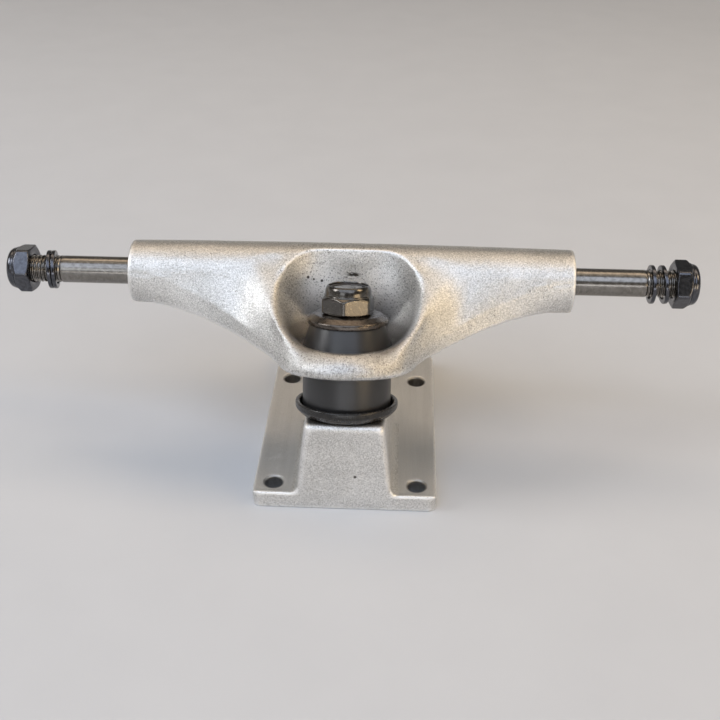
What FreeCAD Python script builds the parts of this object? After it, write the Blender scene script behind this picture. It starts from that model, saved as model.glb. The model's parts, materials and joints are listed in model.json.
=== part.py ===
import FreeCAD, Part
import math
import os

import Sketcher

Vector = FreeCAD.Vector
Placement = FreeCAD.Placement
Rotation = FreeCAD.Rotation

# Skateboard truck standing on its baseplate. Millimetres. The origin is on the underside of the
# baseplate, at the centre of the four deck holes. X runs along the axle, Y from the kingpin side
# to the pivot side, Z up.
SIZES = {
    # baseplate casting
    "plate_width": 53.0,
    "plate_front": 32.7,
    "plate_rear": 44.0,
    "plate_thickness": 4.9,
    "plate_corner": 2.5,
    "hole_span_across": 41.3,
    "hole_span_along": 54.0,
    "deck_hole_radius": 2.6,
    "boss_top_width": 21.6,
    "boss_foot_width": 27.6,
    "boss_seat_front": 12.5,
    "boss_seat_rear": 11.2,
    "boss_rear_foot": 3.0,
    "boss_corner": 1.6,
    "boss_brow": 1.8,
    "pivot_boss_width": 19.6,
    "pivot_boss_corner": 3.0,
    "pivot_boss_foot": 16.5,
    # kingpin axis: it passes through the seat point on the boss and leans to the rear
    "kingpin_lean_angle": 18.5,
    "seat_behind_origin": -18.8,
    "seat_height": 24.35,
    # pivot: the ball centre, and the direction of the stem
    "pivot_behind_origin": 31.0,
    "pivot_height": 13.5,
    "pivot_stem_angle": 45.0,
    "pivot_ball_radius": 5.2,
    "pivot_cup_radius": 7.5,
    "pivot_cup_below": 6.3,
    "pivot_cup_mouth": 5.0,
    # kingpin, three eighths of an inch with 24 threads to the inch
    "kingpin_radius": 4.7625,
    "kingpin_top": 36.3,
    "kingpin_thread_start": 28.4,
    "kingpin_head_radius": 6.5,
    "kingpin_head_under": 7.0,
    "kingpin_head_height": 5.0,
    "thread_pitch": 1.0583,
    "thread_depth": 0.45,
    # bushings and their cup washers, measured up the kingpin from the seat
    "bottom_washer_radius": 14.6,
    "bottom_washer_rim": 4.0,
    "washer_thickness": 1.5,
    "bushing_radius": 12.5,
    "bushing_bore_radius": 5.1,
    "bushing_corner": 0.6,
    "ring_seat_low": 14.8,
    "ring_seat_high": 18.6,
    "seat_gap": 0.1,
    "top_bushing_shoulder": 1.4,
    "top_bushing_top": 27.5,
    "top_bushing_top_radius": 10.0,
    "top_washer_radius": 11.4,
    "top_washer_skirt": 1.3,
    # kingpin nut, a lock nut with a nylon ring
    "kingpin_nut_across_flats": 13.5,
    "kingpin_nut_hexagon": 5.2,
    "kingpin_nut_height": 7.9,
    "kingpin_nut_collar": 6.0,
    "kingpin_nut_turn": 22.0,
    # hanger casting, described in the kingpin's frame
    "axle_behind_kingpin": 17.0,
    "axle_up_kingpin": 36.55,
    "hanger_half_width": 64.0,
    "hanger_end_radius": 9.12,
    "hanger_middle_swell": 0.5,
    "ring_radius": 20.0,
    "ring_bottom": 14.0,
    "ring_crest": 20.1,
    "ring_crest_radius": 14.6,
    "ring_outer_top": 17.1,
    "ring_bore_radius": 8.2,
    "ring_recess_radius": 12.9,
    "ring_recess_height": 3.4,
    "bowl_rim_radius": 13.4,
    "bowl_half_width": 20.2,
    "bowl_wall": 3.0,
    "bowl_back": 12.3,
    "bowl_corner": 13.0,
    # axle, five sixteenths of an inch with 24 threads to the inch
    "axle_radius": 3.97,
    "axle_half_length": 99.9,
    "axle_thread_start": 85.0,
    # axle nuts and speed rings
    "axle_nut_across_flats": 12.6,
    "axle_nut_hexagon": 4.5,
    "axle_nut_length": 6.8,
    "axle_nut_collar": 6.0,
    "left_nut_face": 93.8,
    "right_nut_face": 93.1,
    "nut_running_gap": 0.03,
    "nylon_length": 1.9,
    "nylon_width": 0.75,
    "ring_outer_radius": 5.65,
    "ring_inner_radius": 4.3,
    "ring_thickness": 1.1,
}

doc = FreeCAD.newDocument("skateboard_truck")
sheet = doc.addObject("Spreadsheet::Sheet", "Sizes")
for row, alias in enumerate(SIZES, start=1):
    sheet.set("A%d" % row, alias)
    sheet.set("B%d" % row, str(SIZES[alias]))
    sheet.setAlias("B%d" % row, alias)
doc.recompute()


class Measure:
    """A size with its number and the expression that binds it to the sheet."""

    def __init__(self, text, value):
        self.text = text
        self.value = value

    def joined(self, sign, other, value):
        text = other.text if isinstance(other, Measure) else repr(float(other))
        return Measure("(%s %s %s)" % (self.text, sign, text), value)

    def __add__(self, other):
        return self.joined("+", other, self.value + number(other))

    def __sub__(self, other):
        return self.joined("-", other, self.value - number(other))

    def __mul__(self, other):
        return self.joined("*", other, self.value * number(other))

    def __truediv__(self, other):
        return self.joined("/", other, self.value / number(other))

    def __neg__(self):
        return Measure("(-1 * %s)" % self.text, -self.value)


def number(size):
    return size.value if isinstance(size, Measure) else float(size)


def size(alias):
    return Measure("Sizes." + alias, float(sheet.get(alias)))


def bind(thing, prop, measure):
    if isinstance(measure, Measure):
        thing.setExpression(prop, measure.text)


def new_body(name):
    body = doc.addObject("PartDesign::Body", name)
    body.Label = name
    return body


def origin_item(body, role):
    return [item for item in body.Origin.OriginFeatures if item.Role == role][0]


def new_sketch(body, role, name):
    sketch = body.newObject("Sketcher::SketchObject", name)
    sketch.AttachmentSupport = [(origin_item(body, role), "")]
    sketch.MapMode = "FlatFace"
    return sketch


def hold_point(sketch, item, end, place):
    """Ties one end of a line, or the centre of a circle, to its place on the sketch."""
    for axis, kind, value in ((-2, "DistanceX", place[0]), (-1, "DistanceY", place[1])):
        if abs(number(value)) < 1e-9:
            sketch.addConstraint(Sketcher.Constraint("PointOnObject", item, end, axis))
            continue
        if number(value) > 0:
            tie = Sketcher.Constraint(kind, -1, 1, item, end, number(value))
        else:
            tie = Sketcher.Constraint(kind, item, end, -1, 1, -number(value))
            value = -value
        index = sketch.addConstraint(tie)
        bind(sketch, "Constraints[%d]" % index, value)


def outline(body, role, name, *loops):
    """A sketch of closed straight-sided loops, each a list of corners."""
    sketch = new_sketch(body, role, name)
    for corners in loops:
        first = sketch.GeometryCount
        points = [Vector(number(x), number(y), 0) for x, y in corners]
        count = len(points)
        for i in range(count):
            sketch.addGeometry(Part.LineSegment(points[i], points[(i + 1) % count]), False)
        for i in range(count):
            joint = Sketcher.Constraint("Coincident", first + i, 2, first + (i + 1) % count, 1)
            sketch.addConstraint(joint)
        for i, corner in enumerate(corners):
            hold_point(sketch, first + i, 1, corner)
    return sketch


def pad(body, sketch, length, midplane=False):
    feature = body.newObject("PartDesign::Pad", sketch.Name + "_pad")
    feature.Profile = sketch
    feature.Length = number(length)
    bind(feature, "Length", length)
    feature.SideType = "Symmetric" if midplane else "One side"
    return feature


def turned(body, kind, sketch):
    """Turns a half section about the sketch's upright axis, adding or cutting."""
    feature = body.newObject("PartDesign::" + kind, sketch.Name + "_turned")
    feature.Profile = sketch
    feature.ReferenceAxis = (sketch, ["V_Axis"])
    feature.Angle = 360.0
    return feature


def volume_falls(body, before, what):
    """Stops the build where a cut has removed nothing."""
    doc.recompute()
    if body.Shape.Volume > before - 1e-3:
        raise RuntimeError("%s cut nothing from %s" % (what, body.Label))


def lathe(name, corners):
    """A turned piece: the half section of corners (radius, height) spun about local Z."""
    body = new_body(name)
    turned(body, "Revolution", outline(body, "XZ_Plane", name + "_section", corners))
    doc.recompute()
    return body


THREAD_OVERCUT = 0.2
THREAD_MOUTH = 0.42


def threads(body, name, radius, start, end):
    """Thread ridges: one grooved ring, repeated along local Z from start to end."""
    pitch = size("thread_pitch")
    depth = size("thread_depth")
    reach = radius + THREAD_OVERCUT
    half_mouth = pitch * THREAD_MOUTH
    section = [(reach, start - half_mouth), (reach, start + half_mouth), (radius - depth, start)]
    before = body.Shape.Volume
    groove = turned(body, "Groove", outline(body, "XZ_Plane", name + "_groove", section))
    volume_falls(body, before, "the first groove")
    before = body.Shape.Volume
    run = end - start
    count = int(round(run.value / pitch.value))
    pattern = body.newObject("PartDesign::LinearPattern", name + "_grooves")
    pattern.Originals = [groove]
    pattern.Direction = (origin_item(body, "Z_Axis"), [""])
    pattern.Length = pitch.value * count
    bind(pattern, "Length", pitch * count)
    pattern.Occurrences = count + 1
    body.Tip = pattern
    volume_falls(body, before, "the thread")


# A lock nut's collar is rolled in over the nylon ring, whose top lies a little below the lip.
COLLAR_OVERLAP = 1.0
COLLAR_ROLL = 1.2
COLLAR_NECK = 0.96
COLLAR_LIP = 0.9
NYLON_BELOW_TOP = 0.45
BORE_CHAMFER = 0.35
FLAT_CIRCLE = 0.98
CHAMFER_BELOW = 0.45
CHAMFER_ABOVE = 0.58
OVERCUT = 0.1


def lock_nut(name, across_flats, hexagon, height, collar, shaft_radius):
    """A hexagon with chamfered corners and a round collar that has a recess for a nylon ring."""
    body = new_body(name)
    corner = across_flats / math.sqrt(3.0)
    corners = [(corner * math.cos(math.radians(60 * i)), corner * math.sin(math.radians(60 * i)))
               for i in range(6)]
    pad(body, outline(body, "XY_Plane", name + "_hexagon", corners), hexagon)
    bore = shaft_radius + size("nut_running_gap")
    collar_foot = hexagon - COLLAR_OVERLAP
    nylon_top = height - NYLON_BELOW_TOP
    turned(body, "Revolution", outline(body, "XZ_Plane", name + "_collar", [
        (bore, collar_foot), (collar, collar_foot), (collar, height - COLLAR_ROLL),
        (collar * COLLAR_NECK, nylon_top), (collar * COLLAR_LIP, height),
        (bore + BORE_CHAMFER, height), (bore, height - BORE_CHAMFER)]))
    doc.recompute()
    before = body.Shape.Volume
    beyond = corner + 1.0
    inscribed = across_flats * (FLAT_CIRCLE / 2.0)
    over = beyond - inscribed
    turned(body, "Groove", outline(body, "XZ_Plane", name + "_chamfers", [
        (inscribed, -OVERCUT), (beyond, -OVERCUT), (beyond, over * CHAMFER_BELOW)], [
        (inscribed, hexagon + OVERCUT), (beyond, hexagon + OVERCUT),
        (beyond, hexagon + OVERCUT - over * CHAMFER_ABOVE)]))
    volume_falls(body, before, "the chamfers")
    before = body.Shape.Volume
    nylon_outer = bore + size("nylon_width")
    nylon_low = nylon_top - size("nylon_length")
    turned(body, "Groove", outline(body, "XZ_Plane", name + "_bore", [
        (0, -OVERCUT), (bore, -OVERCUT), (bore, nylon_low), (nylon_outer, nylon_low),
        (nylon_outer, nylon_top), (bore, nylon_top), (bore, height + OVERCUT),
        (0, height + OVERCUT)]))
    volume_falls(body, before, "the bore")
    return body


def nylon_ring(name, height, shaft_radius):
    """The locking ring held inside a nut's collar, a little clear of its recess all round."""
    ease = size("nut_running_gap")
    bore = shaft_radius + ease
    outer = bore + size("nylon_width") - ease
    top = height - NYLON_BELOW_TOP - ease
    bottom = top - size("nylon_length") + ease * 2.0
    return lathe(name, [(bore, bottom), (outer, bottom), (outer, top), (bore, top)])


# Frames: the kingpin's, whose Z runs up the kingpin from the seat, the stem's, whose Z runs from
# the ball centre up the pivot stem, and the axle's ends, whose Z runs outwards.
lean = math.radians(size("kingpin_lean_angle").value)
seat = Vector(0, size("seat_behind_origin").value, size("seat_height").value)
kingpin_turn = Rotation(Vector(1, 0, 0), -math.degrees(lean))
kingpin_frame = Placement(seat, kingpin_turn)
ball = Vector(0, size("pivot_behind_origin").value, size("pivot_height").value)
stem_tilt = 90.0 - size("pivot_stem_angle").value
stem_frame = Placement(ball, Rotation(Vector(1, 0, 0), stem_tilt))
axle_local = Vector(0, size("axle_behind_kingpin").value, size("axle_up_kingpin").value)
axle_centre = kingpin_frame.multVec(axle_local)


def end_frame(side, distance):
    """A frame on the axle at a distance from its middle, its Z pointing out of that end."""
    turn = Rotation(Vector(0, 1, 0), 90.0 * side)
    return Placement(axle_centre + Vector(side * distance, 0, 0), turn)


def edges_of(shape, test):
    """Names of the edges whose middle point and direction pass a test."""
    names = []
    for i, edge in enumerate(shape.Edges, start=1):
        ends = [vertex.Point for vertex in edge.Vertexes]
        if len(ends) == 2 and test(edge.CenterOfMass, (ends[1] - ends[0]).normalize()):
            names.append("Edge%d" % i)
    return names


def rounded(name, base, rules):
    """A copy of a solid with the edges that each rule's test picks rounded to its radius."""
    feature = doc.addObject("Part::Fillet", name)
    feature.Base = base
    feature.Edges = [(int(edge[4:]), radius, radius) for radius, test in rules
                     for edge in edges_of(base.Shape, test)]
    doc.recompute()
    return feature


# Baseplate: one casting. The plate and the kingpin boss share one front face that leans back.
plate = new_body("baseplate_casting")
front = -size("plate_front")
thick = size("plate_thickness")
seat_front = size("boss_seat_front")
seat_rear = size("boss_seat_rear")
seat_y = size("seat_behind_origin")
seat_z = size("seat_height")
top_front = (seat_y - seat_front * math.cos(lean), seat_z + seat_front * math.sin(lean))
top_rear = (seat_y + seat_rear * math.cos(lean), seat_z - seat_rear * math.sin(lean))
lean_back = (top_front[0] - front) / top_front[1]
plate_section = [
    (front, 0), (size("plate_rear"), 0),
    (size("plate_rear") - thick * lean_back, thick), (front + thick * lean_back, thick)]
pad(plate, outline(plate, "YZ_Plane", "plate_section", plate_section), size("plate_width"), True)

boss_section = [
    (front, 0), (size("boss_rear_foot"), 0), (size("boss_rear_foot"), thick),
    top_rear, top_front]
pad(plate, outline(plate, "YZ_Plane", "boss_section", boss_section), size("boss_foot_width"), True)

doc.recompute()

# The sides of the kingpin boss are drafted by two wedges cut along the whole plate.
before = plate.Shape.Volume
half_foot = size("boss_foot_width") / 2.0
half_top = size("boss_top_width") / 2.0
draft_height = size("seat_height") + 6.0
draft = outline(plate, "XZ_Plane", "boss_draft", [
    (half_foot, thick), (half_foot + 1.0, thick), (half_foot + 1.0, draft_height),
    (half_top, draft_height)], [
    (-half_foot, thick), (-half_top, draft_height), (-(half_foot + 1.0), draft_height),
    (-(half_foot + 1.0), thick)])
draft_cut = plate.newObject("PartDesign::Pocket", "boss_draft_cut")
draft_cut.Profile = draft
draft_cut.Type = "ThroughAll"
draft_cut.SideType = "Symmetric"
volume_falls(plate, before, "the boss draft")

stem = math.radians(size("pivot_stem_angle").value)
half_boss = size("pivot_boss_width") / 2.0
mouth = size("pivot_cup_mouth")
mouth_y = size("pivot_behind_origin") - mouth * math.cos(stem)
mouth_z = size("pivot_height") + mouth * math.sin(stem)
mouth_low = (mouth_y - half_boss * math.sin(stem), mouth_z - half_boss * math.cos(stem))
mouth_high = (mouth_y + half_boss * math.sin(stem), mouth_z + half_boss * math.cos(stem))
pivot_section = [
    (size("pivot_boss_foot"), 0), (size("plate_rear"), 0),
    (size("plate_rear") - thick * lean_back, thick),
    (size("plate_rear") - 0.9, mouth_high[1] - 8.0),
    mouth_high, mouth_low, (size("pivot_boss_foot"), thick)]
pad(plate, outline(plate, "YZ_Plane", "pivot_section", pivot_section),
    size("pivot_boss_width"), True)
doc.recompute()

half_plate = size("plate_width").value / 2.0


def on_plate_corner(middle, way):
    return abs(abs(middle.x) - half_plate) < 0.1 and abs(way.z) > 0.9


def on_boss_corner(middle, way):
    beside = half_top.value - 0.5 < abs(middle.x) < half_foot.value - 0.3
    return beside and middle.z > thick.value + 2.0 and middle.y < 10.0 and abs(way.x) < 0.5


def on_boss_brow(middle, way):
    at_top = abs(middle.y - top_front[0].value) < 0.2 and abs(middle.z - top_front[1].value) < 0.2
    return at_top and abs(way.x) > 0.9


def on_pivot_boss_corner(middle, way):
    beside = abs(abs(middle.x) - half_boss.value) < 0.05
    return beside and 12.0 < middle.y < 40.0 and middle.z > thick.value + 0.5


casting = rounded("baseplate_rounded", plate, [
    (size("plate_corner").value, on_plate_corner),
    (size("boss_corner").value, on_boss_corner),
    (size("boss_brow").value, on_boss_brow),
    (size("pivot_boss_corner").value, on_pivot_boss_corner)])


def cylinder(name, radius, height, frame, start):
    """A plain cylinder along a frame's Z, from start over its height."""
    solid = doc.addObject("Part::Cylinder", name)
    solid.Radius = number(radius)
    solid.Height = number(height)
    bind(solid, "Radius", radius)
    bind(solid, "Height", height)
    solid.Placement = frame.multiply(Placement(Vector(0, 0, number(start)), Rotation()))
    return solid


tools = []
for side_name, side in (("left", -1), ("right", 1)):
    for end_name, end in (("front", -1), ("rear", 1)):
        spot = Vector(side * size("hole_span_across").value / 2.0,
                      end * size("hole_span_along").value / 2.0, 0)
        tools.append(cylinder("deck_hole_%s_%s" % (end_name, side_name),
                              size("deck_hole_radius"), thick + 2.0,
                              Placement(spot, Rotation()), -1.0))
tools.append(cylinder("kingpin_hole", size("kingpin_radius") + 0.02, 40.0, kingpin_frame, -30.0))
head_radius = size("kingpin_head_radius") + 0.3
head_room = size("kingpin_head_height") + 1.2
tools.append(cylinder("head_pocket", head_radius, head_room, kingpin_frame,
                      -(head_room + size("kingpin_head_under")).value))
tools.append(cylinder("pivot_recess", size("pivot_cup_radius") + 0.02,
                      size("pivot_cup_below") + mouth + 1.0, stem_frame,
                      -size("pivot_cup_below").value))
# Under the bolt's head the pocket opens straight down, clear of the leaning front face.
WELL_FRONT = -29.2
WELL_LENGTH = 14.5
WELL_TOP = 14.5
well = doc.addObject("Part::Box", "kingpin_well")
well.Length = head_radius.value * 2.0
well.Width = WELL_LENGTH
well.Height = WELL_TOP + 1.0
well.Placement = Placement(Vector(-head_radius.value, WELL_FRONT, -1.0), Rotation())
tools.append(well)

cutters = doc.addObject("Part::MultiFuse", "baseplate_cutters")
cutters.Shapes = tools
baseplate = doc.addObject("Part::Cut", "baseplate")
baseplate.Label = "baseplate"
baseplate.Base = casting
baseplate.Tool = cutters

# Pivot cup: a urethane cup pressed into the rear boss, with a round seat and an open mouth.
ball_radius = size("pivot_ball_radius")
cup_blank = cylinder("pivot_cup_blank", size("pivot_cup_radius"), size("pivot_cup_below") + mouth,
                     stem_frame, -size("pivot_cup_below").value)
cup_seat = doc.addObject("Part::Sphere", "pivot_cup_seat")
cup_seat.Radius = ball_radius.value + 0.05
bind(cup_seat, "Radius", ball_radius + 0.05)
cup_seat.Placement = stem_frame
cup_mouth = doc.addObject("Part::Cone", "pivot_cup_mouth")
cup_mouth.Radius1 = ball_radius.value + 0.05
cup_mouth.Radius2 = ball_radius.value + 1.5
cup_mouth.Height = mouth.value + 0.5
bind(cup_mouth, "Radius1", ball_radius + 0.05)
bind(cup_mouth, "Radius2", ball_radius + 1.5)
bind(cup_mouth, "Height", mouth + 0.5)
cup_mouth.Placement = stem_frame
cup_inside = doc.addObject("Part::MultiFuse", "pivot_cup_inside")
cup_inside.Shapes = [cup_seat, cup_mouth]
pivot_cup = doc.addObject("Part::Cut", "pivot_cup")
pivot_cup.Label = "pivot_cup"
pivot_cup.Base = cup_blank
pivot_cup.Tool = cup_inside

# Kingpin: a steel bolt put in from below, its round head inside the boss.
pin = size("kingpin_radius")
pin_top = size("kingpin_top")
head_top = -size("kingpin_head_under")
head_low = head_top - size("kingpin_head_height")
head = size("kingpin_head_radius")
kingpin = lathe("kingpin", [
    (0, head_low + 3.0), (3.2, head_low + 3.0), (3.2, head_low), (head - 0.6, head_low),
    (head, head_low + 0.6), (head, head_top), (pin, head_top), (pin, pin_top - 0.7),
    (pin - 0.7, pin_top), (0, pin_top)])
threads(kingpin, "kingpin_thread", pin, size("kingpin_thread_start"), pin_top - 0.9)

# Cup washers: pressed steel discs whose rims hold the ends of the bushings.
sheet_steel = size("washer_thickness")
pin_gap = pin + 0.15
low_rim = size("bottom_washer_radius")
low_top = size("bottom_washer_rim")
bottom_washer = lathe("bottom_washer", [
    (pin_gap, 0), (low_rim - 4.0, 0), (low_rim - 1.6, 0.6), (low_rim - 0.4, 1.7),
    (low_rim, 3.0), (low_rim - 0.2, low_top - 0.2), (low_rim - 0.7, low_top),
    (low_rim - 1.2, low_top - 0.3), (low_rim - 1.7, sheet_steel + 0.6),
    (low_rim - 2.0, sheet_steel), (pin_gap, sheet_steel)])

high_low = size("top_bushing_top")
high_rim = size("top_washer_radius")
skirt = high_low - size("top_washer_skirt")
top_washer = lathe("top_washer", [
    (pin_gap, high_low), (high_rim - 1.35, high_low), (high_rim - 1.15, skirt + 0.25),
    (high_rim - 0.7, skirt), (high_rim - 0.2, skirt + 0.2), (high_rim, skirt + 0.8),
    (high_rim - 0.1, high_low + 0.1), (high_rim - 1.4, high_low + sheet_steel - 0.3),
    (high_rim - 2.8, high_low + sheet_steel), (pin_gap, high_low + sheet_steel)])

# Bushings: a barrel below the hanger's ring and a cone above it, both urethane.
gap = size("seat_gap")
bore = size("bushing_bore_radius")
wall = size("bushing_radius")
corner = size("bushing_corner")
barrel_low = sheet_steel + 0.05
barrel_top = size("ring_seat_low") - gap
bottom_bushing = lathe("bottom_bushing", [
    (bore, barrel_low), (wall - corner, barrel_low), (wall, barrel_low + corner),
    (wall, barrel_top - corner), (wall - corner, barrel_top), (bore, barrel_top)])
cone_low = size("ring_seat_high") + gap
cone_top = size("top_bushing_top") - 0.05
cone_radius = size("top_bushing_top_radius")
top_bushing = lathe("top_bushing", [
    (bore, cone_low), (wall - 0.3, cone_low), (wall, cone_low + 0.3),
    (wall, cone_low + size("top_bushing_shoulder")), (cone_radius, cone_top - 0.4),
    (cone_radius - 0.4, cone_top), (bore, cone_top)])

# Kingpin lock nut and its nylon ring, standing on the top washer.
nut_seat = number(high_low + sheet_steel)
nut_turn = Rotation(Vector(0, 0, 1), size("kingpin_nut_turn").value)
nut_frame = kingpin_frame.multiply(Placement(Vector(0, 0, nut_seat), nut_turn))
kingpin_nut = lock_nut("kingpin_nut", size("kingpin_nut_across_flats"),
                       size("kingpin_nut_hexagon"), size("kingpin_nut_height"),
                       size("kingpin_nut_collar"), pin)
kingpin_nut_insert = nylon_ring("kingpin_nut_insert", size("kingpin_nut_height"), pin)
kingpin_nut.Placement = nut_frame
kingpin_nut_insert.Placement = nut_frame
for piece in (kingpin, bottom_washer, bottom_bushing, top_bushing, top_washer):
    piece.Placement = kingpin_frame

# Axle: one steel rod cast into the hanger, threaded at both ends.
rod = size("axle_radius")
rod_half = size("axle_half_length")
axle = lathe("axle", [
    (0, -rod_half), (rod - 0.7, -rod_half), (rod, -(rod_half - 0.7)), (rod, rod_half - 0.7),
    (rod - 0.7, rod_half), (0, rod_half)])
thread_start = size("axle_thread_start")
threads(axle, "axle_thread_right", rod, thread_start, rod_half - 0.9)
threads(axle, "axle_thread_left", rod, -(rod_half - 0.9), -thread_start)
axle.Placement = end_frame(1, 0.0)

# Axle nuts with their nylon rings, and the speed rings that bear on the wheels' bearings.
# Each ring hangs on the thread at a distance from the middle, with a lean and a swing to the side.
SPEED_RINGS = {
    "speed_ring_left_inner": (-1, 87.8, 1.5, 10.0),
    "speed_ring_left_outer": (-1, 89.1, 1.0, 10.0),
    "speed_ring_right_inner": (1, 87.1, -1.6, 0.0),
    "speed_ring_right_outer": (1, 90.5, -6.0, -3.0),
}
NUT_TURNS = {"left": 100.5, "right": 94.8}
for side_name, side in (("left", -1), ("right", 1)):
    nut = lock_nut("axle_nut_" + side_name, size("axle_nut_across_flats"),
                   size("axle_nut_hexagon"), size("axle_nut_length"),
                   size("axle_nut_collar"), rod)
    nylon = nylon_ring("axle_nut_insert_" + side_name, size("axle_nut_length"), rod)
    spin = Placement(Vector(0, 0, 0), Rotation(Vector(0, 0, 1), NUT_TURNS[side_name]))
    place = end_frame(side, size(side_name + "_nut_face").value).multiply(spin)
    nut.Placement = place
    nylon.Placement = place

ring_outer = size("ring_outer_radius")
ring_inner = size("ring_inner_radius")
ring_half = size("ring_thickness") / 2.0
RING_CLEARANCE = 0.05
for name, (side, distance, ring_lean, swing) in SPEED_RINGS.items():
    ring = lathe(name, [
        (ring_inner, -ring_half), (ring_outer - 0.35, -ring_half),
        (ring_outer, -(ring_half * 0.4)), (ring_outer, ring_half * 0.4),
        (ring_outer - 0.35, ring_half), (ring_inner, ring_half)])
    dip = ring_half.value * math.sin(math.radians(abs(ring_lean)))
    place = end_frame(side, distance)
    place.Base.z += rod.value + dip + RING_CLEARANCE - ring_inner.value
    lean_turn = Placement(Vector(0, 0, 0), Rotation(Vector(0, 1, 0), ring_lean))
    swing_turn = Placement(Vector(0, 0, 0), Rotation(Vector(1, 0, 0), swing))
    ring.Placement = place.multiply(swing_turn).multiply(lean_turn)

# Hanger: one aluminium casting with a ring round the kingpin, an open bowl above it, two wings
# out to the ends of the axle housing, and a stem with a ball that sits in the pivot cup. It is
# described in the kingpin's frame: x along the axle, v to the rear, s up the kingpin.
half_width = size("hanger_half_width").value
end_radius = size("hanger_end_radius").value
swell = size("hanger_middle_swell").value
axle_v = axle_local.y
axle_s = axle_local.z
ring_radius = size("ring_radius").value
rim_radius = size("bowl_rim_radius").value
crest = size("ring_crest").value
bowl_back = size("bowl_back").value
WING_ROOT = 15.5
RIM_SLOPE = 0.957
BAND_TOP_AT_ROOT = 18.7
BAND_LOW_AT_ROOT = 15.0
BAND_LOW_AT_END = 29.0
BAND_BULGE = 1.0
END_CREASE_RISE = 0.1
INSIDE_RING = 0.4
OFF_HOUSING = 0.05


def rim_plane(v):
    """Height of the sloping plane that holds the bowl's rim."""
    return crest + RIM_SLOPE * (v + rim_radius)


def housing_radius(x):
    return end_radius + swell * (1.0 - (x / half_width) ** 2)


def crease(x):
    """Upper edge of the flat band that runs round the ring and out along each wing."""
    inner = ring_radius - INSIDE_RING
    root_v = -math.sqrt(inner ** 2 - min(x, WING_ROOT) ** 2)
    if x <= WING_ROOT:
        return root_v, min(rim_plane(root_v), BAND_TOP_AT_ROOT)
    out = (x - WING_ROOT) / (half_width - WING_ROOT)
    end_v = axle_v - housing_radius(x) - OFF_HOUSING
    end_s = axle_s + END_CREASE_RISE
    v = end_v - (end_v - root_v) * (1.0 - out) ** 3.5
    s = BAND_TOP_AT_ROOT + (end_s - BAND_TOP_AT_ROOT) * math.sin(out * math.pi / 2) ** 1.4
    return v, s


def band_foot(x):
    """Lower edge of the band."""
    v, s = crease(x)
    if x <= WING_ROOT:
        return v, BAND_LOW_AT_ROOT - 0.9 * (1.0 - x / WING_ROOT)
    out = (x - WING_ROOT) / (half_width - WING_ROOT)
    end_v = axle_v - math.sqrt(end_radius ** 2 - (axle_s - BAND_LOW_AT_END) ** 2)
    v += (end_v - (axle_v - end_radius)) * out ** 4
    rise = math.sin(out * math.pi / 2) ** 1.25
    return v, BAND_LOW_AT_ROOT + (BAND_LOW_AT_END - BAND_LOW_AT_ROOT) * rise


def touch_point(point, radius, side):
    """Where a line from a point touches the axle housing: side is 1 above and -1 below."""
    dv = axle_v - point[0]
    ds = axle_s - point[1]
    distance = math.hypot(dv, ds)
    spread = math.asin(min(1.0, radius / distance))
    way = math.atan2(ds, dv) + side * spread
    length = math.sqrt(max(0.0, distance ** 2 - radius ** 2))
    return point[0] + length * math.cos(way), point[1] + length * math.sin(way)


def bulged(start, end, bulge):
    """The middle of a chord, pushed to the left of the way it runs."""
    dv = end[0] - start[0]
    ds = end[1] - start[1]
    length = math.hypot(dv, ds)
    return ((start[0] + end[0]) / 2 - ds / length * bulge,
            (start[1] + end[1]) / 2 + dv / length * bulge)


def housing_point(x, angle):
    radius = housing_radius(x)
    return (axle_v + radius * math.cos(math.radians(angle)),
            axle_s + radius * math.sin(math.radians(angle)))


def angle_on_housing(point):
    return math.degrees(math.atan2(point[1] - axle_s, point[0] - axle_v))


def wing_section(x):
    """One closed section: front face, band, underside, and the round of the housing."""
    far = abs(x)
    radius = housing_radius(far)
    top = crease(far)
    foot = band_foot(far)
    at_end = max(0.0, (far - WING_ROOT) / (half_width - WING_ROOT)) ** 5
    front = touch_point(top, radius, 1)
    back = touch_point(foot, radius, -1)
    middle = ((front[0] + top[0]) / 2, (front[1] + top[1]) / 2)
    lip = max(0.0, min(1.0, (30.0 - far) / 10.0))
    above = rim_plane(middle[0]) - middle[1]
    push = above / (1.0 + RIM_SLOPE ** 2) * lip
    middle = (middle[0] - RIM_SLOPE * push, middle[1] + push)
    band_middle = bulged(top, foot, -BAND_BULGE * at_end)
    under_middle = ((foot[0] + back[0]) / 2, (foot[1] + back[1]) / 2)
    round_middle = housing_point(far, (angle_on_housing(front) + angle_on_housing(back)) / 2.0)
    edges = []
    for first, between, last in ((front, middle, top), (top, band_middle, foot),
                                 (foot, under_middle, back), (back, round_middle, front)):
        points = [Vector(x, p[0], p[1]) for p in (first, between, last)]
        if between is round_middle:
            curve = Part.Arc(*points).toBSpline()
        else:
            curve = Part.BSplineCurve()
            curve.interpolate(points)
        edges.append(curve.toShape())
    return Part.Wire(edges)


STATIONS = (0.0, 6.0, 11.0, 15.5, 18.0, 21.0, 25.0, 30.0, 36.0, 43.0, 50.0, 57.0, half_width)
sections = [wing_section(-x) for x in reversed(STATIONS[1:])]
sections += [wing_section(x) for x in STATIONS]
wings = Part.makeLoft(sections, True, False)


def spun(points):
    """A solid turned about the kingpin axis from (radius, height) corners."""
    corners = [Vector(radius, 0, height) for radius, height in points]
    face = Part.Face(Part.makePolygon(corners + corners[:1]))
    return face.revolve(Vector(0, 0, 0), Vector(0, 0, 1), 360)


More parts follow.
